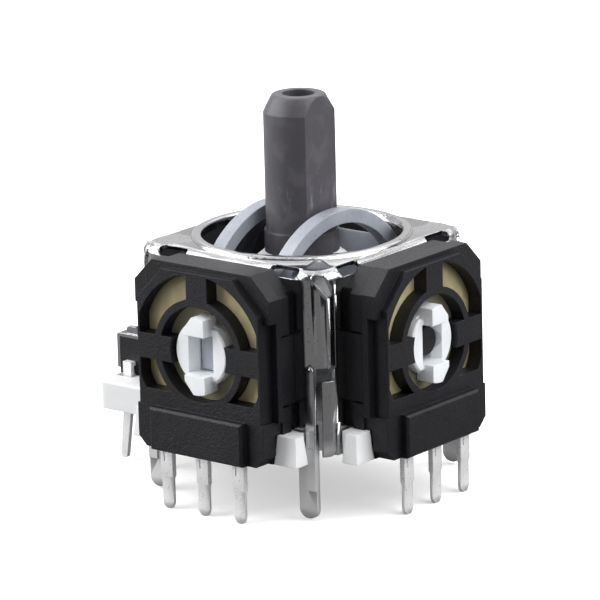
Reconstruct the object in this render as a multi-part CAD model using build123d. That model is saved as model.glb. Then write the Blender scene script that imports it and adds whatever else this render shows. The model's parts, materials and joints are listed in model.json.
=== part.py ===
from build123d import *
import math
import os

# Thumb-stick module with two potentiometers and a push switch.
# Frame: millimetres, +Z up, origin on the stick's axis in the plane of the circuit board that the base
# sits on. Potentiometer A faces -Y, potentiometer B faces +X, the switch is on the -X side.

# Overall
pivot_z = 5.65  # height of both tilt axes above the circuit board
pin_depth = 3.35  # potentiometer pins below the circuit board's face
press_travel = 0.31  # way of the switch plunger while the lower yoke rocks
running_gap = 0.05
seat_gap = 0.05  # between moulded pieces that are pressed together

# Frame: one stamped and folded sheet
frame_half = 6.5
sheet = 0.3
frame_corner_radius = 1.5
frame_bend_radius = 0.55
frame_above_pivot = 4.8
wall_bottom = 1.75
rim_margin = 1.0
rim_width = 0.55
rim_height = 0.2
rim_outer_round = 0.18
rim_inner_round = 0.12
notch_from_side = 1.65
notch_length = 1.95
notch_width = 0.7
notch_inset = 0.2
corner_strip = 1.03
slit_width = 0.25
eyelet_below_top = 0.5
eyelet_radius = 0.33
eyelet_drop = 0.85
eyelet_shift = 0.5
lip_width = 0.17
lip_height = 0.1
strip_below_pivot = 0.5
leg_below_pivot = 1.25
wall_end_angle = 30
leg_angle = 44
foot_length = 1.4
foot_gap = 0.08
skirt_bottom = 0.25
skirt_room = 0.1
tab_from_side = 1.25
tab_width = 1.2
tab_depth = 3.2
tab_tip_round = 0.54
rib_width = 0.6
rib_height = 0.1
rib_below_pivot = 0.35
slot_play = 0.1

# Base: one white moulding
base_thickness = 1.2
floor_z = 1.7
rim_lip = 0.45
rim_wall = 0.8
rest_height = 1.6
bar_half = 4.2
bar_end = 1.0
bar_back = 0.52
tab_room = 0.15
post_inner = 4.2
post_width = 1.5
post_depth = 1.0
post_past_case = 0.28
post_taper = 5.0
shelf_half = 4.85
shelf_margin = 0.1
shelf_corner = 0.45
shelf_edge = 0.15
cradle_width = 3.2
cradle_thickness = 0.5
cradle_inset = 0.25
pin_room = 0.15

# Stick and what moves with it
stick_top = 18.3
shaft_radius = 1.95
shaft_flat = 1.45
shaft_root_radius = 2.05
root_length = 1.2
crown_height = 0.95
crown_inset = 0.5
crown_round = 0.2
top_hole_radius = 0.89
top_hole_depth = 3.0
collar_above_pivot = 3.95
collar_radius = 2.5
collar_cone = 0.35
collar_height = 0.65
barrel_radius = 1.9
barrel_below_pivot = 1.6
spigot_radius = 1.0
spigot_length = 2.0
trunnion_radius = 0.6
bore_radius = 1.25
bore_above_pivot = 2.6
spring_wire = 0.26
spring_gap = 0.08
spring_turns = 5
foot_clearance = 0.2
foot_radius = 2.8
foot_top = 2.15
foot_stem_radius = 0.55
foot_stem_top = 1.2

# Yokes
journal_radius = 1.6
tongue_width = 1.1
tongue_height = 2.1
tongue_lead = 0.12
yoke_clearance = 0.11
rail_depth = 0.75
rail_play = 0.38
rail_width = 0.82
upper_leg_gap = 0.3
upper_leg_thickness = 0.8
upper_leg_top = 2.6
upper_leg_corner = 1.0
upper_tongue_inset = 0.3
lower_tongue_inset = 0.8
lower_rail_gap = 0.35
lower_rail_width = 0.8
lower_slot_half = 2.95
lower_end_width = 1.05
lower_top = 1.4
lower_bottom = 0.5
lower_corner = 0.35
arm_radius = 1.2
arm_past_plunger = 1.1
arm_round = 0.3

# Potentiometers, as seen from outside: s across, z up, d outward from the stick's axis
case_depth = 1.22
case_back = 0.3
case_inset = 0.17
case_below_cover = 0.1
side_block_low = 2.55
side_block_high = 1.3
side_block_inset = 0.22
side_block_set_back = 0.35
side_groove = 0.14
cover_half = 4.67
cover_above_pivot = 4.75
cover_chamfer = 1.25
border_depth = 0.38
shoulder_depth = 0.55
shoulder_above_pivot = 2.23
plateau_depth = 0.96
plateau_inset = 0.47
plateau_below_top = 0.3
plateau_chamfer = 1.8
plateau_bottom = 1.0
block_inset = 0.31
block_top = 2.38
block_chamfer = 0.53
bump_half = 3.2
bump_depth = 0.49
bump_edge = 0.12
hub_hole = 2.65
hub_ring = 0.4
window_width = 1.35
window_wall = 0.13
window_cut = 2.35
spoke_top_width = 1.45
spoke_side_height = 1.4
spoke_tab = 0.72
board_thickness = 0.5
board_inset = 0.55
board_below_pivot = 4.6
board_above_pivot = 4.5
board_gap = 0.03
rotor_radius = 3.45
rotor_room = 0.15
rotor_disc = 0.4
hub_radius = 1.79
hub_past_board = 0.28
claw_height = 0.32
claw_half_height = 1.45
claw_edge = 0.1
claw_lead = 0.25
hook_radius = 2.15
hook_height = 0.9
hook_inner = 1.1
hook_half_width = 0.7
hook_chamfer = 0.6
keyhole_radius = 0.85
wiper_sheet = 0.1
wiper_gap = 0.03
finger_width = 0.4
finger_inset = 0.45
finger_length = 1.6
finger_root = 0.7
finger_tail = 0.3

# Potentiometer terminals
terminal_pitch = 2.5
terminal_width = 1.0
terminal_sheet = 0.3
terminal_top = 2.75
terminal_inset = 0.04
terminal_gap = 0.02
terminal_tip_round = 0.42
terminal_slit_width = 0.1
terminal_slit_depth = 0.7
terminal_slit_place = 0.18
joggle_high = 1.75
joggle_low = 0.95
joggle_shift = 0.1

# Push switch on the shelf
switch_from_frame = 0.25
switch_length = 4.1
switch_half = 3.0
switch_height = 2.1
cover_sheet = 0.2
cover_flange_drop = 1.8
cover_bend = 0.16
ear_height = 0.45
ear_length = 0.8
ear_spacing = 2.4
plunger_radius = 1.0
plunger_flange_radius = 1.4
plunger_flange = 0.35
plunger_gap = 0.05
plunger_round = 0.12
plunger_travel_room = 0.45
dome_radius = 1.6
dome_crown = 0.64
dome_height = 0.22
dome_sheet = 0.08
dome_room = 0.3
pin_outside = 0.25
pin_spacing = 2.5
pin_width = 0.6
pin_sheet = 0.25
pin_tip_width = 0.45
pin_tip_round = 0.18
pin_splay = 0.45
pin_shoulder = 0.8
pin_bend_z = 0.3
switch_pin_depth = 3.2

# Worked out from the above
frame_inner = frame_half - sheet
frame_reach = frame_half + 1  # beyond the outside, for cuts
foot_end = frame_half - foot_length
frame_top = pivot_z + frame_above_pivot
opening_radius = frame_half - rim_margin
slit_from_centre = frame_half - corner_strip
eyelet_z = frame_top - eyelet_below_top
strip_bottom = pivot_z - strip_below_pivot
leg_top = pivot_z - leg_below_pivot
tab_from_centre = frame_half - tab_from_side
base_half = frame_inner - seat_gap
base_underside = floor_z - base_thickness
case_split = frame_half + case_depth
bar_reach = case_split - bar_back
post_reach = case_split + post_past_case
case_half = cover_half - case_inset
cover_top = pivot_z + cover_above_pivot
border_face = case_split + border_depth
shoulder_face = border_face + shoulder_depth
plateau_face = border_face + plateau_depth
bump_face = plateau_face + bump_depth
plateau_half = cover_half - plateau_inset
plateau_top = cover_top - plateau_below_top
block_half = cover_half - block_inset
window_inner = hub_hole + hub_ring
window_outer = window_inner + window_width
window_side = plateau_half - window_wall
board_half = cover_half - board_inset
board_bottom = pivot_z - board_below_pivot
board_top = pivot_z + board_above_pivot
board_front = case_split + board_thickness
rotor_start = frame_half + case_back + running_gap
disc_face = rotor_start + rotor_disc
hub_face = board_front + hub_past_board
claw_face = hub_face + claw_height
wiper_inner = hub_radius + running_gap
wiper_outer = rotor_radius - rotor_room
finger_inner = wiper_inner + finger_inset
terminal_face = plateau_face - terminal_inset
upper_inner_radius = math.hypot(collar_above_pivot + root_length, shaft_root_radius) + yoke_clearance
upper_outer_radius = upper_inner_radius + rail_depth
rail_inner = shaft_flat + rail_play
rail_outer = rail_inner + rail_width
upper_leg_outer = frame_inner - upper_leg_gap
journal_end = frame_half - running_gap
lower_rail_inner = barrel_radius + lower_rail_gap
lower_rail_outer = lower_rail_inner + lower_rail_width
lower_end = lower_slot_half + lower_end_width
upper_tongue_reach = hub_face - upper_tongue_inset
lower_tongue_reach = hub_face - lower_tongue_inset
hinge_x = (rotor_start + lower_tongue_reach) / 2
foot_sphere = pivot_z - floor_z - foot_clearance
switch_inner = frame_half + switch_from_frame
switch_outer = switch_inner + switch_length
switch_x = -(switch_inner + switch_outer) / 2
switch_top = rest_height + switch_height
chamber_floor = switch_top - plunger_flange - plunger_travel_room
shelf_reach = switch_outer + shelf_margin
pin_y = switch_half + pin_outside
pin_places = (switch_x - pin_spacing / 2, switch_x + pin_spacing / 2)
arm_reach = arm_past_plunger - switch_x


def block(x0, x1, y0, y1, z0, z1):
    """Box between two corners."""
    return Pos((x0 + x1) / 2, (y0 + y1) / 2, (z0 + z1) / 2) * Box(x1 - x0, y1 - y0, z1 - z0)


def rod(radius, start, end, axis="Z"):
    """Round bar through the origin along one axis."""
    bar = Pos(0, 0, (start + end) / 2) * Cylinder(radius, end - start)
    if axis == "X":
        return Rot(0, 90, 0) * bar
    if axis == "Y":
        return Rot(-90, 0, 0) * bar
    return bar


def at_pivot(shape):
    """Moves a shape drawn about the crossing of the tilt axes to its real height."""
    return Pos(0, 0, pivot_z) * shape


def outward(sketch, near, far):
    """Extrudes a sketch in s and z away from the stick, on potentiometer A's side."""
    return extrude(Plane.XZ.offset(near) * sketch, far - near)


def corners(shape):
    """The shape at the +X, -Y corner, mirrored to all four corners."""
    pair = [shape, mirror(shape, about=Plane.YZ)]
    return pair + [mirror(one, about=Plane.XZ) for one in pair]


def frame_box(inset):
    """The frame's outside with all its bends, or the same shape smaller by an inset."""
    half = frame_half - inset
    low = foot_gap + inset
    high = frame_top - inset
    plan = RectangleRounded(2 * half, 2 * half, frame_corner_radius - inset)
    solid = Pos(0, 0, low) * extrude(plan, high - low)
    ends = solid.edges().group_by(Axis.Z)
    return fillet(ends[0] + ends[-1], frame_bend_radius - inset)


def frame_shell():
    """Sheet box with a raised rim round its opening; below the walls only the corners go on."""
    shell = frame_box(0) - frame_box(sheet)
    rim = rod(opening_radius + rim_width, frame_top - sheet, frame_top + rim_height)
    shell += fillet(rim.edges().group_by(Axis.Z)[-1], rim_outer_round)
    shell -= rod(opening_radius, frame_top - 2 * sheet, frame_top + 2 * rim_height)
    inner_edge = shell.edges().filter_by(GeomType.CIRCLE).group_by(Axis.Z)[-1].sort_by(SortBy.RADIUS)[0]
    shell = fillet(inner_edge, rim_inner_round)
    shell -= block(-foot_end, foot_end, -frame_reach, frame_reach, -1, wall_bottom)
    return shell - block(-frame_reach, frame_reach, -slit_from_centre, slit_from_centre, -1, wall_bottom)


def frame_skirts():
    """Walls that go lower beside the rests of the potentiometers and the switch's shelf."""
    top = wall_bottom + sheet
    start = bar_half + skirt_room
    end = foot_end + sheet
    side = block(start, end, -frame_half, -frame_inner, skirt_bottom, top)
    right = block(frame_inner, frame_half, -end, -start, skirt_bottom, top)
    left = block(-frame_half, -frame_inner, -end, -shelf_half - skirt_room, skirt_bottom, top)
    near = [side, mirror(side, about=Plane.YZ), right, left]
    return near + [mirror(one, about=Plane.XZ) for one in near]


def corner_opening(grow=0.0):
    """Slit beside a corner from a drop-shaped eyelet, or the outline of the lip round it."""
    tip = slit_width / 2 + grow
    low = strip_bottom if grow else leg_top
    start = Circle(eyelet_radius + grow)
    drop = make_hull((start + Pos(eyelet_shift, -eyelet_drop) * Circle(tip)).edges())
    drop = extrude(Plane.XZ.offset(frame_half) * drop, frame_half)
    slit = block(frame_inner - 1, frame_reach, -slit_from_centre - slit_width - grow, grow - slit_from_centre,
                 low, eyelet_z - eyelet_drop)
    return Rot(0, 0, 45) * Pos(0, 0, eyelet_z) * drop + slit


def corner_wedge(start, end, low, high):
    """Wedge about the corner's upright centre line, between two angles from the wall's outward direction."""
    centre = frame_half - frame_corner_radius
    reach = 2 * frame_corner_radius
    points = [(centre, -centre)]
    for angle in (start, end):
        turn = math.radians(angle)
        points.append((centre + reach * math.sin(turn), -centre - reach * math.cos(turn)))
    return Pos(0, 0, low) * extrude(make_face(Polyline(*points, close=True)), high - low)


def corner_cuts():
    """What is taken out at a corner: eyelet and slit, the room beside the leg, two notches in the bends."""
    below_strip = corner_wedge(wall_end_angle, 90, leg_top, strip_bottom)
    below_strip &= block(0, frame_reach, -frame_reach, -slit_from_centre, 0, frame_top)
    beside_leg = corner_wedge(wall_end_angle, leg_angle, -1, leg_top)
    notch = extrude(SlotOverall(notch_length, notch_width), 1, both=True)
    along = frame_half - notch_from_side - notch_length / 2
    notch = Pos(along, notch_inset - frame_half, frame_top - notch_inset) * Rot(45, 0, 0) * notch
    turned_notch = Rot(0, 0, 90) * mirror(notch, about=Plane.YZ)
    return [corner_opening(), below_strip, beside_leg, notch, turned_notch]


def journal_slots():
    """Slots in which the yokes' journals enter from below; the one over the switch is narrower."""
    slots = []
    for turn, radius in ((0, journal_radius), (90, journal_radius), (180, journal_radius), (270, arm_radius)):
        wide = radius + slot_play
        slot = block(-wide, wide, -frame_reach, 1 - frame_inner, 0, pivot_z)
        slots.append(Rot(0, 0, turn) * (slot + at_pivot(rod(wide, -frame_reach, 1 - frame_inner, "Y"))))
    return slots


def solder_tab():
    """Tab below a Y wall with a rib that runs up the wall."""
    tab = Rectangle(tab_width, tab_depth + wall_bottom + sheet, align=(Align.CENTER, Align.MIN))
    tab = fillet(tab.vertices().group_by(Axis.Y)[0], tab_tip_round)
    tab = outward(Pos(tab_from_centre, -tab_depth) * tab, frame_inner, frame_half)
    rib_end = pivot_z - rib_below_pivot - rib_width / 2
    rib_start = -tab_depth / 2
    rib = Pos(0, rib_end) * Circle(rib_width / 2)
    rib += Pos(0, (rib_start + rib_end) / 2) * Rectangle(rib_width, rib_end - rib_start)
    rib_place = tab_from_centre + (tab_width - rib_width) / 2
    return tab + outward(Pos(rib_place, 0) * rib, frame_half, frame_half + rib_height)


def frame():
    """Folded cover: top with a raised rim, four walls, solder tabs and clinched feet."""
    shell = frame_shell()
    for skirt in frame_skirts():
        shell += skirt
    lips = corner_opening(lip_width) & (frame_box(-lip_height) - frame_box(sheet / 2))
    for lip in corners(lips):
        shell += lip
    for cut in corner_cuts():
        for placed in corners(cut):
            shell -= placed
    for slot in journal_slots():
        shell -= slot
    for tab in corners(solder_tab()):
        shell += tab
    return shell


def base():
    """Floor, rim, cradles for the journals, rests under the potentiometers and the switch's shelf."""
    plan = RectangleRounded(2 * base_half, 2 * base_half, frame_corner_radius - sheet)
    body = Pos(0, 0, base_underside) * extrude(plan, base_thickness + rim_lip)
    well = 2 * (base_half - rim_wall)
    body -= Pos(0, 0, floor_z) * extrude(RectangleRounded(well, well, rim_wall), rim_lip)

    # Rests under both potentiometers, with room for the frame's solder tabs
    rest = block(-bar_half, bar_half, -bar_reach, -base_half, 0, rest_height)
    bar_end_half = bar_half + bar_end
    rest += block(-bar_end_half, bar_end_half, -bar_reach, -frame_half - tab_room, 0, rest_height)
    post = extrude(Rectangle(post_width, post_depth), rest_height, taper=post_taper)
    post = Pos(post_inner + post_width / 2, post_depth / 2 - post_reach, 0) * post
    rest += post + mirror(post, about=Plane.YZ)
    body += rest
    body += Rot(0, 0, 90) * rest

    # Shelf for the switch
    shelf = block(-shelf_reach, rim_wall - base_half, -shelf_half, shelf_half, 0, rest_height)
    shelf = fillet(shelf.edges().filter_by(Axis.Z).group_by(Axis.X)[0], shelf_corner)
    shelf = fillet(shelf.edges().group_by(Axis.Z)[-1], shelf_edge)
    body += shelf

    # Cradles that carry the journals in the frame's slots
    near = frame_inner - cradle_inset
    far = near + cradle_thickness
    cradle = block(-cradle_width / 2, cradle_width / 2, -far, -near, base_underside, pivot_z)
    cradle -= at_pivot(rod(journal_radius + running_gap, -far - 1, 1 - near, "Y"))
    for turn in (0, 90, 180):
        body += Rot(0, 0, turn) * cradle

    # Holes for the switch's pins
    for x in pin_places:
        lean = pin_splay / 2 if x < switch_x else 0
        half = pin_width / 2 + pin_room
        depth = pin_sheet / 2 + pin_room
        hole = block(x - half - lean, x + half, pin_y - depth, pin_y + depth, -1, rest_height + 1)
        body -= hole
        body -= mirror(hole, about=Plane.XZ)
    return body


def stick():
    """Dark shaft: round root, two flats, crowned end with a blind hole."""
    seat = pivot_z + collar_above_pivot
    flats_low = seat + root_length
    crown_z = stick_top - crown_height
    root = rod(shaft_root_radius, seat, flats_low)
    shaft = rod(shaft_radius, flats_low, crown_z)
    crown_foot = Plane.XY.offset(crown_z) * Circle(shaft_radius)
    crown_head = Plane.XY.offset(stick_top) * Circle(shaft_radius - crown_inset)
    shaft += loft([crown_foot, crown_head])
    shaft = fillet(shaft.edges().group_by(Axis.Z)[-1], crown_round)
    shaft &= block(-shaft_flat, shaft_flat, -shaft_radius, shaft_radius, flats_low, stick_top)
    whole = root + shaft
    whole -= rod(top_hole_radius, stick_top - top_hole_depth, stick_top + 1)
    whole -= rod(spigot_radius, seat - 1, seat + spigot_length)
    return whole


def stick_pivot():
    """White hollow barrel: collar and spigot for the shaft, trunnions along Y, bore for the spring."""
    collar_top = collar_above_pivot
    cone_foot = Plane.XY.offset(collar_top - collar_cone) * Circle(collar_radius)
    cone_head = Plane.XY.offset(collar_top) * Circle(shaft_root_radius)
    body = rod(barrel_radius, -barrel_below_pivot, collar_top - collar_cone)
    body += rod(collar_radius, collar_top - collar_height, collar_top - collar_cone)
    body += loft([cone_foot, cone_head])
    body += rod(spigot_radius, collar_top, collar_top + spigot_length)
    body += rod(trunnion_radius, -lower_rail_outer, lower_rail_outer, "Y")
    body -= rod(bore_radius, -barrel_below_pivot - 1, bore_above_pivot)
    return at_pivot(body)


def return_spring():
    """Coil spring between the bore's end and the foot."""
    wire = spring_wire / 2
    radius = bore_radius - spring_gap - wire
    low = -foot_top + wire
    high = bore_above_pivot - wire
    path = Helix((high - low) / spring_turns, high - low, radius)
    profile = Plane(path @ 0, z_dir=path % 0) * Circle(wire)
    return at_pivot(Pos(0, 0, low) * sweep(profile, path=path, is_frenet=True))


def spring_foot():
    """Round-bottomed foot with a stem inside the spring."""
    ball = Sphere(foot_sphere)
    rim = rod(foot_radius, -foot_sphere, -foot_top)
    foot = ball & rim
    foot += rod(foot_stem_radius, -foot_top, foot_stem_top)
    return at_pivot(foot)


def tongue(near, far):
    """Flat key at a journal's end, upright in z, towards -Y."""
    half = tongue_width / 2
    key = block(-half, half, -far, -near, -tongue_height / 2, tongue_height / 2)
    return chamfer(key.edges().group_by(Axis.Y)[0], tongue_lead)


def rocking_key():
    """Round-edged key towards +X: its rim is an arc about the axis that the lower yoke rocks on."""
    half = tongue_width / 2
    disc = Pos(hinge_x, 0, 0) * rod(tongue_height / 2, -half, half, "Y")
    disc &= block(journal_end, lower_tongue_reach, -half, half, -tongue_height, tongue_height)
    shank_height = tongue_height / 2 - tongue_lead
    return disc + block(journal_end, hinge_x, -half, half, -shank_height, shank_height)


def upper_yoke():
    """Two arched rails along Y, legs and journals; it turns about Y and drives potentiometer A."""
    leg_inner = upper_leg_outer - upper_leg_thickness
    ring = rod(upper_outer_radius, -rail_outer, rail_outer, "X")
    ring -= rod(upper_inner_radius, -rail_outer - 1, rail_outer + 1, "X")
    ring &= block(-rail_outer, rail_outer, -upper_leg_outer, upper_leg_outer, 0, upper_outer_radius)
    leg = block(-rail_outer, rail_outer, -upper_leg_outer, -leg_inner, -journal_radius, upper_leg_top)
    leg = fillet(leg.edges().filter_by(Axis.Y).group_by(Axis.Z)[0], upper_leg_corner)
    body = ring + leg + mirror(leg, about=Plane.XZ)
    body -= block(-rail_inner, rail_inner, -leg_inner, leg_inner, 0, upper_outer_radius + 1)
    body += rod(journal_radius, -journal_end, -leg_inner, "Y")
    body += rod(journal_radius, leg_inner, frame_half, "Y")
    body += tongue(journal_end, upper_tongue_reach)
    return at_pivot(body)


def lower_yoke():
    """Open centre that carries the stick, journal and key towards +X, pressing arm over the switch."""
    body = block(-lower_end, lower_end, -lower_rail_outer, lower_rail_outer, -lower_bottom, lower_top)
    body = fillet(body.edges().filter_by(Axis.X).group_by(Axis.Z)[-1], lower_corner)
    body -= block(-lower_slot_half, lower_slot_half, -lower_rail_inner, lower_rail_inner,
                  -lower_bottom, lower_top)
    seat = trunnion_radius + running_gap
    body -= rod(seat, -lower_rail_outer - 1, lower_rail_outer + 1, "Y")
    body -= block(-seat, seat, -lower_rail_outer, lower_rail_outer, -lower_bottom, 0)
    body += rod(journal_radius, lower_end, journal_end, "X")
    body += rocking_key()
    arm = rod(arm_radius, -arm_reach, -lower_end, "X")
    body += fillet(arm.edges().group_by(Axis.X)[0], arm_round)
    return at_pivot(body)


def cut_corners(half, low, high, top_cut=0.0, bottom_cut=0.0):
    """Upright outline in s and z, with its upper or lower corners cut at 45 degrees."""
    outline = Pos(0, (low + high) / 2) * Rectangle(2 * half, high - low)
    if top_cut:
        outline = chamfer(outline.vertices().group_by(Axis.Y)[-1], top_cut)
    if bottom_cut:
        outline = chamfer(outline.vertices().group_by(Axis.Y)[0], bottom_cut)
    return outline


def window_outline():
    """Four windows between the spokes round the hub, the lower two cut off level."""
    ring = Circle(window_outer) & Rectangle(2 * window_side, 2 * window_outer)
    ring -= Circle(window_inner)
    ring -= Pos(0, window_outer) * Rectangle(spoke_top_width, 2 * window_outer)
    ring -= Rectangle(4 * window_outer, spoke_side_height)
    below = Pos(0, -window_cut - window_outer) * Rectangle(4 * window_outer, 2 * window_outer)
    return Pos(0, pivot_z) * (ring - below)


def hub_outline():
    """Round hole in the cover with the two side spokes reaching a little into it."""
    hole = Circle(hub_hole)
    tabs = Rectangle(4 * hub_hole, spoke_side_height) - Circle(hub_hole - spoke_tab)
    return Pos(0, pivot_z) * (hole - tabs)


def terminal_profile(grow):
    """Side view of a terminal, in d and z: clinched on the board, stepped out, straight down."""
    near = board_front
    far = board_front + terminal_sheet + grow
    front = terminal_face + grow
    back = terminal_face - terminal_sheet - grow
    low = -pin_depth
    high = terminal_top + grow
    points = [
        (near, high), (far, high), (far, joggle_high), (front, joggle_low), (front, low),
        (back, low), (back, joggle_low - joggle_shift), (near, joggle_high - joggle_shift),
    ]
    return make_face(Polyline(*points, close=True))


def terminal(place, grow=0.0):
    """One terminal at its place across the potentiometer."""
    side_view = Plane(origin=(0, 0, 0), x_dir=(0, -1, 0), z_dir=(-1, 0, 0))
    width = terminal_width + 2 * grow
    strip = extrude(side_view * terminal_profile(grow), width / 2, both=True)
    if grow == 0:
        face = Rectangle(width, pin_depth + terminal_top, align=(Align.CENTER, Align.MIN))
        face = Pos(0, -pin_depth) * fillet(face.vertices().group_by(Axis.Y)[0], terminal_tip_round)
        slit = Rectangle(terminal_slit_width, 2 * terminal_slit_depth)
        strip &= outward(face - Pos(-terminal_slit_place, 0) * slit, 0, bump_face)
    return Pos(place * terminal_pitch, 0, 0) * strip


def pot_cover():
    """Moulded front: stepped face, spoked windows, hub hole, terminal block, pocket for the board."""
    past_post = post_reach + seat_gap
    shoulder_bottom = pivot_z + shoulder_above_pivot
    body = outward(cut_corners(cover_half, block_top, cover_top, cover_chamfer), case_split, border_face)
    shoulder = cut_corners(cover_half, shoulder_bottom, cover_top, cover_chamfer)
    body += outward(shoulder, border_face, shoulder_face)
    plateau = cut_corners(plateau_half, plateau_bottom, plateau_top, plateau_chamfer)
    body += outward(plateau, border_face, plateau_face)
    # Terminal block, which fits between the base's posts and stands on the board
    body += outward(cut_corners(block_half, 0, block_top, 0, block_chamfer), past_post, plateau_face)
    body += outward(cut_corners(block_half, rest_height + seat_gap, block_top), case_split, past_post)
    body += outward(cut_corners(post_inner - seat_gap, 0, block_top), case_split, past_post)
    body += outward(cut_corners(post_inner - seat_gap, 0, rest_height), bar_reach + seat_gap, case_split)
    bump = outward(cut_corners(bump_half, 0, block_top), plateau_face, bump_face)
    body += chamfer(bump.edges().group_by(Axis.Y)[0], bump_edge)
    body -= outward(window_outline(), case_split, bump_face)
    body -= outward(hub_outline(), case_split, bump_face)
    pocket = cut_corners(board_half + board_gap, board_bottom - board_gap, board_top + board_gap,
                         cover_chamfer)
    body -= outward(pocket, case_split, board_front)
    for place in (-1, 0, 1):
        body -= terminal(place, terminal_gap)
    return body


def pot_case():
    """Rear case: chamber for the rotor, open to the board; each side is stepped into three blocks."""
    outline = cut_corners(case_half, rest_height, cover_top - case_below_cover, cover_chamfer)
    body = outward(outline, frame_half, case_split)
    seam_low = pivot_z - side_block_low
    seam_high = pivot_z + side_block_high
    groove = side_groove / 2
    inner = case_half - side_block_inset
    # The upper and lower blocks stand back from the frame, the middle one reaches it
    back = -frame_half - side_block_set_back
    cuts = [
        block(inner, case_half + 1, back, 0, seam_high, cover_top),
        block(inner, case_half + 1, back, 0, 0, seam_low),
        block(inner, case_half + 1, -case_split, 0, seam_high - groove, seam_high + groove),
        block(inner, case_half + 1, -case_split, 0, seam_low - groove, seam_low + groove),
        block(case_half - side_groove, case_half + 1, -case_split, side_groove - case_split, 0, cover_top),
    ]
    for cut in cuts:
        body -= cut
        body -= mirror(cut, about=Plane.YZ)
    body -= at_pivot(rod(rotor_radius + rotor_room, -case_split - 1, -frame_half - case_back, "Y"))
    body -= at_pivot(rod(journal_radius + rotor_room, -case_split - 1, 1 - frame_half, "Y"))
    return body


def pot_board():
    """Board with the resistive track on its back and a round hole for the hub."""
    board = outward(cut_corners(board_half, board_bottom, board_top, cover_chamfer), case_split, board_front)
    return board - at_pivot(rod(hub_radius + running_gap, -board_front - 1, 1 - case_split, "Y"))


def pot_rotor(keyhole=0.0):
    """Disc and hub; claws beside the keyed slot, two snap hooks that hold the board."""
    body = rod(rotor_radius, -disc_face, -rotor_start, "Y")
    body += rod(hub_radius, -hub_face, -disc_face, "Y")
    slot_half = tongue_width / 2 + running_gap
    slot_height = tongue_height / 2 + running_gap
    claws = Circle(hub_radius) & Rectangle(4 * hub_radius, 2 * claw_half_height)
    claws -= Rectangle(2 * slot_half, 4 * hub_radius)
    claws = outward(claws, hub_face - claw_edge, claw_face)
    body += chamfer(claws.edges().group_by(Axis.Y)[0], claw_edge)
    # Each hook reaches past the hub over the board's edge and has one corner cut
    hook = Circle(hook_radius) & Pos(0, hook_inner) * Rectangle(
        2 * hook_half_width, hook_radius, align=(Align.CENTER, Align.MIN))
    hook = chamfer(hook.vertices().sort_by(lambda corner: corner.X - corner.Y)[0], hook_chamfer)
    over_board = outward(hook, board_front + running_gap, hub_face + hook_height)
    body += over_board
    body += mirror(over_board, about=Plane.XY)
    body -= block(-slot_half, slot_half, -claw_face, -rotor_start, -slot_height, slot_height)
    lead_mouth = Plane.XZ.offset(claw_face) * Rectangle(2 * (slot_half + claw_lead), 2 * slot_height)
    lead_end = Plane.XZ.offset(board_front) * Rectangle(2 * slot_half, 2 * slot_height)
    body -= loft([lead_end, lead_mouth])
    if keyhole:
        body -= rod(keyhole, -claw_face - 1, -rotor_start, "Y")
    return at_pivot(body)


def pot_wiper():
    """Sprung contact: a flat ring on the rotor's disc with two raised fingers that reach the board."""
    low = disc_face
    ring = rod(wiper_outer, -low - wiper_sheet, -low, "Y") - rod(wiper_inner, -low - 1, 0, "Y")
    tip = case_split - wiper_gap
    # Finger from the side: root on the ring, ramp, flat contact, tail turned back from the board
    root = -finger_length
    bend = root + finger_root
    contact = 2 * finger_tail
    outline = [
        (root, low), (root, low + wiper_sheet), (bend, low + wiper_sheet), (contact, tip),
        (contact + finger_tail, tip), (contact + 2 * finger_tail, tip - 2 * wiper_sheet),
        (contact + 2 * finger_tail, tip - 3 * wiper_sheet), (contact + finger_tail, tip - wiper_sheet),
        (contact, tip - wiper_sheet), (bend, low),
    ]
    face = make_face(Polyline(*[(s, -d) for s, d in outline], close=True))
    finger = Pos(0, 0, finger_inner) * extrude(face, finger_width)
    room = block(bend, finger_length, -low - 1, 0, finger_inner - running_gap, wiper_outer + 1)
    ring -= room
    ring -= Rot(0, 180, 0) * room
    return at_pivot(ring + finger + Rot(0, 180, 0) * finger)


def switch_body():
    """Black moulding with a chamber for the plunger and the snap dome."""
    body = block(-switch_outer, -switch_inner, -switch_half, switch_half, rest_height, switch_top)
    middle = Pos(switch_x, 0, 0)
    body -= middle * rod(plunger_flange_radius + running_gap, chamber_floor, switch_top + 1)
    body -= middle * rod(dome_radius + running_gap, chamber_floor - dome_room, chamber_floor)
    for x in pin_places:
        half = pin_width / 2
        groove = block(x - half, x + half, switch_half - pin_outside, switch_half + 1,
                       rest_height - 1, rest_height + pin_shoulder)
        body -= groove
        body -= mirror(groove, about=Plane.XZ)
    return body


def switch_cover():
    """Sheet metal lid folded down over two sides, with a hole for the plunger and four small ears."""
    top = switch_top + cover_sheet
    lid = block(-switch_outer - cover_sheet, -switch_inner + cover_sheet, -switch_half, switch_half,
                switch_top - cover_flange_drop, top)
    lid = fillet(lid.edges().filter_by(Axis.Y).group_by(Axis.Z)[-1], cover_bend)
    lid -= block(-switch_outer, -switch_inner, -switch_half - 1, switch_half + 1, 0, switch_top)
    lid -= Pos(switch_x, 0, 0) * rod(plunger_radius + running_gap, switch_top - 1, switch_top + 1)
    ear = block(-ear_length / 2, ear_length / 2, -cover_sheet / 2, cover_sheet / 2,
                switch_top, top + ear_height)
    ear = fillet(ear.edges().filter_by(Axis.Y).group_by(Axis.Z)[-1], cover_sheet)
    for x in (-ear_spacing / 2, ear_spacing / 2):
        for y in (-1, 1):
            lid += Pos(switch_x + x, y * (switch_half - cover_sheet), 0) * ear
    return lid


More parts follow.
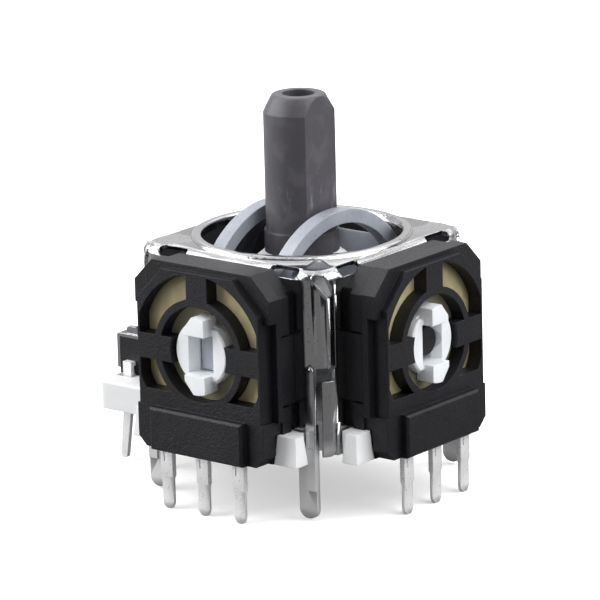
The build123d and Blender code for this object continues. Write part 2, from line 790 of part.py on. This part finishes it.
def switch_plunger():
    """Round actuator with a flange that the lid retains."""
    flange_top = switch_top - running_gap
    top = pivot_z - arm_radius - plunger_gap
    stem = rod(plunger_radius, flange_top - plunger_flange, top)
    stem = fillet(stem.edges().group_by(Axis.Z)[-1], plunger_round)
    stem += rod(plunger_flange_radius, flange_top - plunger_flange, flange_top)
    return Pos(switch_x, 0, 0) * stem


def switch_dome():
    """Snap dome on the chamber's floor."""
    upright = (Align.CENTER, Align.CENTER, Align.MIN)
    outer = Cone(dome_radius, dome_crown, dome_height, align=upright)
    inner = Cone(dome_radius - 2 * dome_sheet, dome_crown - dome_sheet, dome_height - dome_sheet,
                 align=upright)
    return Pos(switch_x, 0, chamber_floor - dome_room) * (outer - inner)


def switch_terminal(x, side):
    """Pin in a groove of the switch, down through the shelf; the outer pair leans away."""
    lean = pin_splay if x < switch_x else 0
    half = pin_width / 2
    tip = pin_tip_width / 2
    top = rest_height + pin_shoulder
    outline = Polyline(
        (x - half, top), (x + half, top), (x + half, pin_bend_z), (x + tip - lean, -switch_pin_depth),
        (x - tip - lean, -switch_pin_depth), (x - half, pin_bend_z), close=True)
    face = make_face(outline)
    face = fillet(face.vertices().group_by(Axis.Y)[0], pin_tip_round)
    pin = extrude(Plane.XZ.offset(pin_y) * face, pin_sheet / 2, both=True)
    pin += block(x - half, x + half, -pin_y, pin_outside - switch_half, top - pin_sheet, top)
    return pin if side < 0 else mirror(pin, about=Plane.XZ)


def build():
    parts = {
        "frame": frame(),
        "base": base(),
        "stick": stick(),
        "stick_pivot": stick_pivot(),
        "return_spring": return_spring(),
        "spring_foot": spring_foot(),
        "upper_yoke": upper_yoke(),
        "lower_yoke": lower_yoke(),
        "switch_body": switch_body(),
        "switch_cover": switch_cover(),
        "switch_plunger": switch_plunger(),
        "switch_dome": switch_dome(),
    }
    pins = [(x, side) for x in pin_places for side in (-1, 1)]
    for number, (x, side) in enumerate(pins, 1):
        parts[f"switch_terminal_{number}"] = switch_terminal(x, side)
    # Rotor B is the mirror image of rotor A, with a keyhole in which the lower yoke's key can rock
    rotors = {"a": pot_rotor(), "b": mirror(pot_rotor(keyhole_radius), about=Plane.YZ)}
    for letter, turn in (("a", 0), ("b", 90)):
        place = Rot(0, 0, turn)
        parts[f"pot_{letter}_cover"] = place * pot_cover()
        parts[f"pot_{letter}_case"] = place * pot_case()
        parts[f"pot_{letter}_board"] = place * pot_board()
        parts[f"pot_{letter}_rotor"] = place * rotors[letter]
        parts[f"pot_{letter}_wiper"] = place * pot_wiper()
        for number, side in enumerate((-1, 0, 1), 1):
            parts[f"pot_{letter}_terminal_{number}"] = place * terminal(side)
    return parts


os.makedirs("parts", exist_ok=True)
for name, shape in build().items():
    export_step(shape, f"parts/{name}.step")
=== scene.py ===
import json
import math

import bmesh
import bpy
from mathutils import Matrix, Vector

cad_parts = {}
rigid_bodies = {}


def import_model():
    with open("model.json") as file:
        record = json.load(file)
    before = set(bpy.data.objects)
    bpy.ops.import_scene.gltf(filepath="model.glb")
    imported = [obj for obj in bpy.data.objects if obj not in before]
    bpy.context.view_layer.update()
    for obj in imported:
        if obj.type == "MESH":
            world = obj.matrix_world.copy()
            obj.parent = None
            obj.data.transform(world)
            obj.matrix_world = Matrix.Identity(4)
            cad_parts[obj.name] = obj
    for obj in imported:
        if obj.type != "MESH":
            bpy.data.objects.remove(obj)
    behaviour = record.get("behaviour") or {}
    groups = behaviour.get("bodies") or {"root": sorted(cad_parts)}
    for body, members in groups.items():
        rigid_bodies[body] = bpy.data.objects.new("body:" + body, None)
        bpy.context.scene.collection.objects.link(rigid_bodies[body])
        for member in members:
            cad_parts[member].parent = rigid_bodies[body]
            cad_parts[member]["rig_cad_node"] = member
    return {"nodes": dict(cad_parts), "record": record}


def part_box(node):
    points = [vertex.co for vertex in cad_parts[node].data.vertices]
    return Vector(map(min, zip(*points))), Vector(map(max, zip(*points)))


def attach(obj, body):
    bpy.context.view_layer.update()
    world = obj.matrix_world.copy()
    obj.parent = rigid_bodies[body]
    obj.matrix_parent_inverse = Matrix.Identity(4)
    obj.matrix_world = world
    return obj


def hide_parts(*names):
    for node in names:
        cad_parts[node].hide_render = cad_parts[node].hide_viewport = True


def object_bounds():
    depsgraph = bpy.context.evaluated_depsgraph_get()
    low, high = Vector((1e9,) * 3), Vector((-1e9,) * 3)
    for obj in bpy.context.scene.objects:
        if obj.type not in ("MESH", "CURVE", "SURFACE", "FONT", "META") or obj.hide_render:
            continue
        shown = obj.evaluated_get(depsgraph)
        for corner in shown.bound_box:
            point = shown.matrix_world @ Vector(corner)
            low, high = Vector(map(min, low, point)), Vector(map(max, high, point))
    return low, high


# Looks of the thumb-stick module: finishes of its moulded, stamped and plated pieces, the small shapes
# that its solids leave out, a white studio and the photograph's camera.
# Blender's units are metres. Sizes are written in millimetres and turned into metres with MM.

MM = 0.001
MERGE = 0.002  # points closer than this, in millimetres, are one

# Camera, matched to the photograph
CAMERA_AZIMUTH = math.radians(39.134)
CAMERA_ELEVATION = math.radians(14.849)
CAMERA_ROLL = math.radians(-1.482)
CAMERA_DISTANCE = 269.178 * MM
CAMERA_SIDE = -0.322 * MM
CAMERA_RISE = 4.824 * MM
CAMERA_AIM_Z = 1.70 * MM
CAMERA_NEAR = 10 * MM
CAMERA_FAR = 10000 * MM
FOCAL_PIXELS = 4894.5
IMAGE_PIXELS = 600
SENSOR_MM = 36.0
FRONT = (math.sin(CAMERA_AZIMUTH), -math.cos(CAMERA_AZIMUTH), 0)

# Studio: brightness of the world's light, of the dim room in front and of the white behind
WORLD_LEVEL = 0.38
ROOM_LEVEL = 0.10
BACK_LEVEL = 0.80
# Where the white fades into the dim room: directions for the world, places for the floor
ROOM_FADE = (-0.8, -0.2)
SWEEP_FADE = (-250 * MM, 25 * MM)
FLOOR_SIZE = 4000 * MM
FLOOR_GLOW = 0.35
WHITE_LIGHT = (1, 1, 1, 1)
# Lamps: name, place and side in millimetres, watts
SOFTBOXES = (
    ("key_left", (-270, -190, 180), 420, 2.1),
    ("fill_right", (270, 90, 200), 360, 1.3),
    ("top_back", (-20, 100, 330), 700, 1.5),
)
LAMP_AIM_Z = 6 * MM

# The axes of both yokes cross at this height, in millimetres
PIVOT_Z = 5.65

# Openings at the frame's corners, in millimetres
CORNER_CENTRE = 5.0
CORNER_REACH = 4.0
EYELET_Z = 9.95
EYELET_RADIUS = 0.27
EYELET_SHIFT = 0.5
EYELET_DROP = 0.85
SLIT_FROM_CENTRE = 5.47
SLIT_REACH = 3.0
SLIT_WIDTH = 0.25
SLIT_TOP = 9.1
SLIT_BOTTOM = 4.5

# Potentiometer terminals, in millimetres, and the shares of width and thickness that they keep
PIN_PLANE = 8.87
PIN_WAIST = 0.1
PIN_NARROWING = 0.82
COIN_TOP = -1.5
COIN_STEP = 0.12
COIN_NARROWING = 0.92
COIN_THINNING = 0.6

# Key end in rotor B, in millimetres
KEY_END_RADIUS = 0.8
KEY_END_NEAR = 7.6
KEY_END_FAR = 8.5
KEY_END_ROUND = 0.1

# Meshes: sides of round shapes, rows of a rounded edge, the sharpest bend that is shaded smooth, and
# how much the large faces lead the shading beside them
ROUND_SIDES = 32
EDGE_ROWS = 3
SMOOTH_ANGLE = math.radians(40)
LARGE_FACES_LEAD = 100

# Heights, and distances from an axis, that materials refer to
HOLE_BOTTOM_Z = 16.2 * MM
HOLE_RADIUS = 0.93 * MM
HOLE_SHARE = 0.97
SCUFFS_BOTTOM_Z = 10.5 * MM
SCUFFS_TOP_Z = 13.8 * MM
TINNED_Z = (0.2 * MM, 1.2 * MM)
PLATE_Z = (10.2 * MM, 9.9 * MM)
# Distances from the pivot where the boards' painted shade begins: round the hub and at the windows' outer
# edge
HUB_SHADE_EDGE = (8.64 * MM, 8.80 * MM)
WINDOW_SHADE_EDGE = (9.12 * MM, 9.37 * MM)

# Noise stays near 0.5. These are the values that count as 0 and as 1.
HALF_COVERED = (0.35, 0.65)
WHOLE_RANGE = (0.3, 0.7)
LARGE_SPOTS = (0.5, 0.62)
RARE_SPOTS = (0.58, 0.7)
RARE_STROKES = (0.58, 0.66)
NOISE_ROUGHNESS = 0.6

EDGE_SAMPLES = 4
# A Mix node has sockets for each of its data types: both inputs, and the result
MIX_SOCKETS = {"FLOAT": (2, 3, 0), "RGBA": (6, 7, 2)}


def linear(hex_colour):
    """sRGB hex colour as linear RGBA."""
    channels = []
    for start in (1, 3, 5):
        value = int(hex_colour[start:start + 2], 16) / 255
        channels.append(value / 12.92 if value <= 0.04045 else ((value + 0.055) / 1.055) ** 2.4)
    return (*channels, 1.0)


def add_node(tree, kind, values=None, links=None, **settings):
    """Adds a node with its settings, input values and links. Inputs go by name or by number."""
    made = tree.nodes.new(kind)
    for key, value in settings.items():
        setattr(made, key, value)
    for key, value in (values or {}).items():
        made.inputs[key].default_value = value
    for key, source in (links or {}).items():
        tree.links.new(source, made.inputs[key])
    return made


def start_material(name):
    """Empty node material with its object coordinates."""
    material = bpy.data.materials.new(name)
    material.use_nodes = True
    tree = material.node_tree
    tree.nodes.clear()
    place = add_node(tree, "ShaderNodeTexCoord").outputs["Object"]
    return material, tree, place


def finish_material(tree, values, links):
    """Puts the shader at the end of a material."""
    shader = add_node(tree, "ShaderNodeBsdfPrincipled", values=values, links=links)
    add_node(tree, "ShaderNodeOutputMaterial", links={"Surface": shader.outputs["BSDF"]})


def grain(tree, place, size_mm, detail=4.0, stretch=None):
    """Noise whose largest spots are about size_mm wide, drawn out where a stretch is below 1."""
    if stretch:
        scaled = add_node(tree, "ShaderNodeMapping", values={"Scale": stretch}, links={"Vector": place})
        place = scaled.outputs["Vector"]
    values = {"Scale": 1 / (size_mm * MM), "Detail": detail, "Roughness": NOISE_ROUGHNESS}
    return add_node(tree, "ShaderNodeTexNoise", values=values, links={"Vector": place}).outputs["Fac"]


def spread(tree, source, low, high, out_low=0.0, out_high=1.0):
    """Maps a value's range onto another, clamped."""
    values = {"From Min": low, "From Max": high, "To Min": out_low, "To Max": out_high}
    return add_node(tree, "ShaderNodeMapRange", values=values, links={"Value": source}).outputs["Result"]


def both_of(tree, first, second):
    """Product of two masks."""
    return add_node(tree, "ShaderNodeMath", operation="MULTIPLY", links={0: first, 1: second}).outputs[0]


def either_of(tree, first, second):
    """The larger of two masks."""
    return add_node(tree, "ShaderNodeMath", operation="MAXIMUM", links={0: first, 1: second}).outputs[0]


def mixed(tree, factor, first, second, data_type="RGBA"):
    """Mixes two colours, or two values with data type FLOAT: each a socket, a hex string or a number."""
    mixer = add_node(tree, "ShaderNodeMix", data_type=data_type, links={0: factor})
    *inputs, result = MIX_SOCKETS[data_type]
    for socket, source in zip(inputs, (first, second)):
        if isinstance(source, bpy.types.NodeSocket):
            tree.links.new(source, mixer.inputs[socket])
        else:
            mixer.inputs[socket].default_value = linear(source) if isinstance(source, str) else source
    return mixer.outputs[result]


def height_of(tree, place):
    """Height of a place."""
    return add_node(tree, "ShaderNodeSeparateXYZ", links={"Vector": place}).outputs["Z"]


def frontward(tree, vector):
    """How far a direction or a place lies towards the photographer."""
    front = add_node(tree, "ShaderNodeVectorMath", operation="DOT_PRODUCT", values={1: FRONT},
                     links={0: vector})
    return front.outputs["Value"]


def relief(tree, height, depth_mm, edge_mm):
    """Bump of a real depth, over edges that are rounded by edge_mm."""
    edge = add_node(tree, "ShaderNodeBevel", samples=EDGE_SAMPLES, values={"Radius": edge_mm * MM})
    values = {"Strength": 1.0, "Distance": depth_mm * MM}
    links = {"Height": height, "Normal": edge.outputs["Normal"]}
    return add_node(tree, "ShaderNodeBump", values=values, links=links).outputs["Normal"]


def black_moulding():
    """Glass-filled black PBT, moulded in a spark-eroded tool: fine matt grain, a little blue."""
    material, tree, place = start_material("black_pbt_moulded")
    fine = grain(tree, place, 0.12)
    broad = grain(tree, place, 2.5, detail=3.0)
    values = {"IOR": 1.5, "Specular IOR Level": 0.35}
    links = {
        "Base Color": mixed(tree, spread(tree, broad, *HALF_COVERED), "#101015", "#17171d"),
        "Roughness": spread(tree, fine, *WHOLE_RANGE, 0.38, 0.54),
        "Normal": relief(tree, fine, 0.035, 0.06),
    }
    finish_material(tree, values, links)
    return material


def white_moulding(name, low, high, roughness, subsurface):
    """White plastic with a slightly uneven milky body."""
    material, tree, place = start_material(name)
    fine = grain(tree, place, 0.2)
    broad = grain(tree, place, 3.0, detail=3.0)
    values = {
        "IOR": 1.48,
        "Subsurface Weight": subsurface,
        "Subsurface Scale": 0.6 * MM,
        "Subsurface Radius": (1.0, 0.95, 0.9),
    }
    links = {
        "Base Color": mixed(tree, spread(tree, broad, *HALF_COVERED), low, high),
        "Roughness": spread(tree, fine, *WHOLE_RANGE, roughness - 0.05, roughness + 0.07),
        "Normal": relief(tree, fine, 0.005, 0.07),
    }
    finish_material(tree, values, links)
    return material


def dark_grey_moulding():
    """Dark grey POM shaft: satin, scuffed near its foot, with old grease at the bottom of its hole."""
    material, tree, place = start_material("dark_grey_pom_moulded")
    fine = grain(tree, place, 0.15)
    scuffs = grain(tree, place, 1.2, detail=8.0)
    height = height_of(tree, place)
    level = add_node(tree, "ShaderNodeVectorMath", operation="MULTIPLY", values={1: (1, 1, 0)},
                     links={0: place})
    radius = add_node(tree, "ShaderNodeVectorMath", operation="LENGTH", links={0: level.outputs[0]})
    # Light scratches where a cap has been pushed on
    scratches = grain(tree, place, 0.7, detail=8.0, stretch=(1, 1, 0.35))
    low_down = both_of(tree, spread(tree, height, SCUFFS_BOTTOM_Z, SCUFFS_BOTTOM_Z + MM),
                       spread(tree, height, SCUFFS_TOP_Z, SCUFFS_TOP_Z - MM))
    worn = both_of(tree, low_down, spread(tree, scratches, *RARE_STROKES))
    in_hole = both_of(tree, spread(tree, radius.outputs["Value"], HOLE_RADIUS, HOLE_RADIUS * HOLE_SHARE),
                      spread(tree, height, HOLE_BOTTOM_Z, HOLE_BOTTOM_Z - MM))
    colour = mixed(tree, spread(tree, scuffs, *LARGE_SPOTS), "#49474d", "#535157")
    colour = mixed(tree, worn, colour, "#6e6b71")
    colour = mixed(tree, in_hole, colour, "#7a6340")
    links = {
        "Base Color": colour,
        "Roughness": spread(tree, scuffs, *HALF_COVERED, 0.34, 0.5),
        "Normal": relief(tree, fine, 0.008, 0.1),
    }
    finish_material(tree, {"IOR": 1.48}, links)
    return material


def start_metal(name):
    """Metal with the waves that rolling and folding leave, and the specks in its plate."""
    material, tree, place = start_material(name)
    waves = grain(tree, place, 1.6, detail=2.0)
    specks = grain(tree, place, 0.12, detail=6.0)
    return material, tree, place, specks, relief(tree, waves, 0.012, 0.06)


def worked_metal(name, colour, pits, roughness, metallic=1.0):
    """Rolled strip, drawn wire or tin plate, with darker pits."""
    material, tree, _, specks, normal = start_metal(name)
    links = {
        "Base Color": mixed(tree, spread(tree, specks, *RARE_SPOTS), colour, pits),
        "Roughness": spread(tree, specks, *WHOLE_RANGE, roughness - 0.06, roughness + 0.08),
        "Normal": normal,
    }
    finish_material(tree, {"Metallic": metallic}, links)
    return material


def frame_plate():
    """Bright nickel plate over folded steel: rougher inside the box and darkened there by painted shade, matt
    where the tabs took up solder.
    """
    material, tree, place, specks, normal = start_metal("nickel_plated_steel")
    height = height_of(tree, place)
    # The inside is what faces the pivot; it gets painted shade, a darker colour where shade falls in the box
    from_pivot = add_node(tree, "ShaderNodeVectorMath", operation="SUBTRACT",
                          values={1: (0, 0, PIVOT_Z * MM)}, links={0: place})
    faces = add_node(tree, "ShaderNodeTexCoord").outputs["Normal"]
    outward = add_node(tree, "ShaderNodeVectorMath", operation="DOT_PRODUCT",
                       links={0: faces, 1: from_pivot.outputs[0]})
    wall = both_of(tree, spread(tree, height, *TINNED_Z), spread(tree, height, *PLATE_Z))
    painted_inside_shade = both_of(tree, spread(tree, outward.outputs["Value"], 0, -MM), wall)
    tinned = spread(tree, height, *reversed(TINNED_Z))
    colour = mixed(tree, spread(tree, specks, *RARE_SPOTS), "#bebec0", "#6b6b6c")
    colour = mixed(tree, tinned, colour, "#dbdbdc")
    # painted shade: the inside faces are darkened to #66666a
    colour = mixed(tree, painted_inside_shade, colour, "#66666a")
    polish = spread(tree, specks, *WHOLE_RANGE, 0.1, 0.24)
    links = {
        "Base Color": colour,
        "Metallic": spread(tree, tinned, 0.0, 1.0, 1.0, 0.4),
        "Roughness": mixed(tree, either_of(tree, tinned, painted_inside_shade), polish, 0.42, "FLOAT"),
        "Normal": normal,
    }
    finish_material(tree, {}, links)
    return material


def bare_board():
    """Phenolic paper laminate, tan with faint upright fibres, and painted shade round the hub and at the
    window's outer edge.
    """
    material, tree, place = start_material("phenolic_paper_board")
    fibres = grain(tree, place, 0.5, detail=6.0, stretch=(1.0, 1.0, 0.25))
    # Painted shade: the board is painted darker round the hub and at the window's outer edge, where the cover
    # shades it
    from_pivot = add_node(tree, "ShaderNodeVectorMath", operation="DISTANCE",
                          values={1: (0, 0, PIVOT_Z * MM)}, links={0: place}).outputs["Value"]
    paper = mixed(tree, spread(tree, fibres, *HALF_COVERED), "#aba078", "#bcb18b")
    # painted shade round the hub
    colour = mixed(tree, spread(tree, from_pivot, *HUB_SHADE_EDGE), "#7a765f", paper)
    links = {
        # painted shade at the window's outer edge
        "Base Color": mixed(tree, spread(tree, from_pivot, *WINDOW_SHADE_EDGE), colour, "#514b38"),
        "Roughness": spread(tree, fibres, *WHOLE_RANGE, 0.45, 0.6),
        "Normal": relief(tree, fibres, 0.006, 0.03),
    }
    finish_material(tree, {"IOR": 1.5}, links)
    return material


def make_materials():
    """One material for each of the record's slots."""
    return {
        "nickel_plated_steel": frame_plate(),
        "white_moulding": white_moulding("white_pbt_moulded", "#e3e4e5", "#eeeff0", 0.42, 0.15),
        "white_acetal": white_moulding("white_pom_moulded", "#e4e8ec", "#eff2f5", 0.3, 0.2),
        "translucent_acetal": white_moulding("natural_pom_moulded", "#9195a0", "#a4a9b2", 0.3, 0.35),
        "dark_grey_moulding": dark_grey_moulding(),
        "black_moulding": black_moulding(),
        "bare_laminate": bare_board(),
        "wiper_bronze": worked_metal("phosphor_bronze_strip", "#d1a36c", "#6f6b66", 0.3),
        "spring_wire": worked_metal("drawn_spring_wire", "#b9b9b6", "#6f6b66", 0.25),
        "tinned_terminal": worked_metal("tin_plated_brass", "#f3f3f4", "#bcbcbc", 0.45, metallic=0.3),
    }


def dress_nodes(frame, materials):
    """Gives each CAD node the material of its slot."""
    for part in frame["record"]["subparts"]:
        mesh = frame["nodes"][part["node"]].data
        mesh.materials.clear()
        mesh.materials.append(materials[part["material_slot"]])


def open_shape(name, mesh):
    """Object with a mesh, in edit mode and the only one selected, so that operators act on it alone."""
    bpy.ops.object.select_all(action="DESELECT")
    shape = bpy.data.objects.new(name, mesh)
    bpy.context.scene.collection.objects.link(shape)
    shape.select_set(True)
    bpy.context.view_layer.objects.active = shape
    bpy.ops.object.mode_set(mode="EDIT")
    bpy.ops.mesh.select_mode(type="VERT")
    return shape


def merged_copy(cad_node, name):
    """Copy of a CAD node with its triangles joined, in edit mode."""
    shape = open_shape(name, cad_node.data.copy())
    bpy.ops.mesh.select_all(action="SELECT")
    bpy.ops.mesh.remove_doubles(threshold=MERGE * MM)
    return shape


def select_where(shape, test):
    """Selects what lies, in millimetres, where the test says."""
    mesh = bmesh.from_edit_mesh(shape.data)
    for vertex in mesh.verts:
        vertex.select = test(vertex.co / MM)
    mesh.select_flush_mode()
    bmesh.update_edit_mesh(shape.data)


def finish_piece(shape, material, body, replaced=None):
    """Smooth shading, weighted normals, material and body; hides the CAD node that a piece stands for, if one
    is given.
    """
    bpy.ops.object.shade_smooth_by_angle(angle=SMOOTH_ANGLE)
    weighted = shape.modifiers.new("weighted_normals", "WEIGHTED_NORMAL")
    weighted.keep_sharp = True
    weighted.weight = LARGE_FACES_LEAD
    bpy.ops.object.modifier_apply(modifier="weighted_normals")
    shape.data.materials.clear()
    shape.data.materials.append(material)
    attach(shape, body)
    if replaced:
        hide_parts(replaced)


def corner_cutter():
    """Drop-shaped eyelets and slits for all four corners, as closed shapes that reach through the sheet."""
    cutter = open_shape("corner_cutter", bpy.data.meshes.new("corner_cutter"))
    along = Vector((math.sqrt(0.5), -math.sqrt(0.5), 0))
    across = Vector((math.sqrt(0.5), math.sqrt(0.5), 0))
    # The drop is the hull of two discs that lie square to the corner's outward direction
    middle = along * (math.sqrt(2) * CORNER_CENTRE + CORNER_REACH / 2)
    lower = middle + across * EYELET_SHIFT + Vector((0, 0, EYELET_Z - EYELET_DROP))
    upper = middle + Vector((0, 0, EYELET_Z))
    for centre, radius in ((upper, EYELET_RADIUS), (lower, SLIT_WIDTH / 2)):
        bpy.ops.mesh.primitive_cylinder_add(
            vertices=ROUND_SIDES, radius=radius * MM, depth=CORNER_REACH * MM, location=centre * MM,
            rotation=(math.pi / 2, 0, math.pi / 4))
    bpy.ops.mesh.select_all(action="SELECT")
    bpy.ops.mesh.convex_hull()
    bpy.ops.mesh.select_all(action="DESELECT")
    slit_middle = Vector((CORNER_CENTRE + CORNER_REACH / 2, -SLIT_FROM_CENTRE - SLIT_WIDTH / 2,
                          (SLIT_TOP + SLIT_BOTTOM) / 2))
    bpy.ops.mesh.primitive_cube_add(
        size=MM, location=slit_middle * MM, scale=(SLIT_REACH, SLIT_WIDTH, SLIT_TOP - SLIT_BOTTOM))
    bpy.ops.object.mode_set(mode="OBJECT")
    mirror = cutter.modifiers.new("other_corners", "MIRROR")
    mirror.use_axis = (True, True, False)
    mirror.use_mirror_merge = False
    bpy.ops.object.modifier_apply(modifier="other_corners")
    return cutter


def frame_with_openings(cad_frame, material):
    """Copy of the CAD frame, its corners parted by slits that start in drop-shaped eyelets."""
    cutter = corner_cutter()
    shell = merged_copy(cad_frame, "frame_shell")
    bpy.ops.object.mode_set(mode="OBJECT")
    cut = shell.modifiers.new("openings", "BOOLEAN")
    cut.operation = "DIFFERENCE"
    cut.solver = "EXACT"
    cut.use_self = True
    cut.object = cutter
    bpy.ops.object.modifier_apply(modifier="openings")
    bpy.data.objects.remove(cutter)
    finish_piece(shell, material, "module_body", "frame")


def coined_terminal(cad_terminal, material, letter):
    """Copy of a CAD terminal, narrower below its cover and pressed thin towards its tip."""
    pin = merged_copy(cad_terminal, cad_terminal["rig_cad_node"] + "_coined")
    low, high = (Vector(corner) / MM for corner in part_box(cad_terminal["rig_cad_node"]))
    across, through = ("x", "y") if letter == "a" else ("y", "x")
    middle = (low + high) / 2
    setattr(middle, through, PIN_PLANE * (-1 if letter == "a" else 1))
    coin_flat = COIN_TOP - COIN_STEP
    for height in (PIN_WAIST, COIN_TOP, coin_flat):
        bpy.ops.mesh.select_all(action="SELECT")
        bpy.ops.mesh.bisect(plane_co=(0, 0, height * MM), plane_no=(0, 0, 1))
    for below, wide, thick in ((PIN_WAIST, PIN_NARROWING, 1.0), (coin_flat, COIN_NARROWING, COIN_THINNING)):
        select_where(pin, lambda place: place.z < below + MERGE)
        factor = Vector((1, 1, 1))
        setattr(factor, across, wide)
        setattr(factor, through, thick)
        bpy.ops.transform.resize(value=factor, center_override=middle * MM)
    bpy.ops.object.mode_set(mode="OBJECT")
    finish_piece(pin, material, "module_body", cad_terminal["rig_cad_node"])


def key_end(material):
    """Round end of the lower yoke's key, seen in the slot of potentiometer B's rotor."""
    shape = open_shape("lower_yoke_key_end", bpy.data.meshes.new("lower_yoke_key_end"))
    bpy.ops.mesh.primitive_cylinder_add(
        vertices=ROUND_SIDES, radius=KEY_END_RADIUS * MM, depth=(KEY_END_FAR - KEY_END_NEAR) * MM,
        location=((KEY_END_FAR + KEY_END_NEAR) / 2 * MM, 0, PIVOT_Z * MM), rotation=(0, math.pi / 2, 0))
    select_where(shape, lambda place: place.x > KEY_END_FAR - MERGE)
    bpy.ops.mesh.bevel(offset=KEY_END_ROUND * MM, segments=EDGE_ROWS, affect="EDGES")
    bpy.ops.object.mode_set(mode="OBJECT")
    finish_piece(shape, material, "lower_yoke")


def add_camera():
    """Camera at the photograph's place, from its azimuth, elevation and roll."""
    back = Vector((
        math.sin(CAMERA_AZIMUTH) * math.cos(CAMERA_ELEVATION),
        -math.cos(CAMERA_AZIMUTH) * math.cos(CAMERA_ELEVATION),
        math.sin(CAMERA_ELEVATION),
    ))
    level = Vector((math.cos(CAMERA_AZIMUTH), math.sin(CAMERA_AZIMUTH), 0))
    upright = back.cross(level)
    right = level * math.cos(CAMERA_ROLL) + upright * math.sin(CAMERA_ROLL)
    up = upright * math.cos(CAMERA_ROLL) - level * math.sin(CAMERA_ROLL)
    aim = Vector((0, 0, CAMERA_AIM_Z))
    place = back * CAMERA_DISTANCE + right * CAMERA_SIDE + up * CAMERA_RISE + aim
    camera = bpy.data.cameras.new("photo_camera")
    camera.sensor_fit = "HORIZONTAL"
    camera.sensor_width = SENSOR_MM
    camera.lens = FOCAL_PIXELS / IMAGE_PIXELS * SENSOR_MM
    camera.clip_start = CAMERA_NEAR
    camera.clip_end = CAMERA_FAR
    holder = bpy.data.objects.new("photo_camera", camera)
    bpy.context.scene.collection.objects.link(holder)
    holder.matrix_world = Matrix((
        (right.x, up.x, back.x, place.x),
        (right.y, up.y, back.y, place.y),
        (right.z, up.z, back.z, place.z),
        (0, 0, 0, 1),
    ))
    bpy.context.scene.camera = holder


def add_softbox(name, place_mm, side_mm, watts):
    """Square lamp that faces the module."""
    lamp = bpy.data.lights.new(name, "AREA")
    lamp.shape = "SQUARE"
    lamp.size = side_mm * MM
    lamp.energy = watts
    holder = bpy.data.objects.new(name, lamp)
    bpy.context.scene.collection.objects.link(holder)
    place = Vector(place_mm) * MM
    holder.location = place
    target = Vector((0, 0, LAMP_AIM_Z))
    holder.rotation_euler = (target - place).to_track_quat("-Z", "Y").to_euler()


def shows_background(tree):
    """Camera rays, and all rays that show the background: these, and rays off gloss or through plastic."""
    rays = add_node(tree, "ShaderNodeLightPath").outputs
    direct_or_gloss = either_of(tree, rays["Is Camera Ray"], rays["Is Glossy Ray"])
    return rays["Is Camera Ray"], either_of(tree, direct_or_gloss, rays["Is Transmission Ray"])


def add_world():
    """White all round for the camera; in reflections the room on the photographer's side is dim."""
    world = bpy.data.worlds.new("white_studio")
    bpy.context.scene.world = world
    world.use_nodes = True
    tree = world.node_tree
    tree.nodes.clear()
    camera_ray, background_ray = shows_background(tree)
    direction = add_node(tree, "ShaderNodeTexCoord").outputs["Generated"]
    room = spread(tree, frontward(tree, direction), *ROOM_FADE, BACK_LEVEL, ROOM_LEVEL)
    reflected = mixed(tree, background_ray, WORLD_LEVEL, room, "FLOAT")
    sky = add_node(tree, "ShaderNodeBackground", values={"Color": WHITE_LIGHT},
                   links={"Strength": either_of(tree, reflected, camera_ray)})
    add_node(tree, "ShaderNodeOutputWorld", links={"Surface": sky.outputs["Background"]})


def add_floor(floor_z):
    """Pale matt floor: white to the camera, bright behind the module in its gloss, with its shadow."""
    bpy.ops.mesh.primitive_plane_add(size=FLOOR_SIZE, location=(0, 0, floor_z))
    floor = bpy.context.object
    floor.name = "studio_floor"
    material, tree, place = start_material("pale_floor")
    camera_ray, background_ray = shows_background(tree)
    sweep = spread(tree, frontward(tree, place), *SWEEP_FADE, BACK_LEVEL, ROOM_LEVEL)
    seen = either_of(tree, both_of(tree, background_ray, sweep), camera_ray)
    # Light that the floor gives back unseen, less of it into gloss
    glossy_ray = add_node(tree, "ShaderNodeLightPath").outputs["Is Glossy Ray"]
    unseen = mixed(tree, glossy_ray, "#8a8a8a", "#262626")
    matt = add_node(tree, "ShaderNodeBsdfDiffuse", links={"Color": mixed(tree, seen, unseen, "#f4f4f4")})
    strength = add_node(tree, "ShaderNodeMath", operation="MULTIPLY", values={1: FLOOR_GLOW}, links={0: seen})
    glow = add_node(tree, "ShaderNodeEmission", values={"Color": WHITE_LIGHT},
                    links={"Strength": strength.outputs[0]})
    surface = add_node(tree, "ShaderNodeAddShader", links={0: matt.outputs[0], 1: glow.outputs[0]})
    add_node(tree, "ShaderNodeOutputMaterial", links={"Surface": surface.outputs[0]})
    floor.data.materials.append(material)


def add_studio(floor_z):
    """White background, pale floor and soft lamps."""
    bpy.context.scene.view_settings.view_transform = "Standard"
    add_world()
    add_floor(floor_z)
    for softbox in SOFTBOXES:
        add_softbox(*softbox)


def main():
    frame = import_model()
    cad_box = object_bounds()
    materials = make_materials()
    dress_nodes(frame, materials)
    nodes = frame["nodes"]
    frame_with_openings(nodes["frame"], materials["nickel_plated_steel"])
    for letter in "ab":
        for number in (1, 2, 3):
            coined_terminal(nodes[f"pot_{letter}_terminal_{number}"], materials["tinned_terminal"], letter)
    key_end(materials["black_moulding"])
    add_camera()
    add_studio(cad_box[0][2])


main()
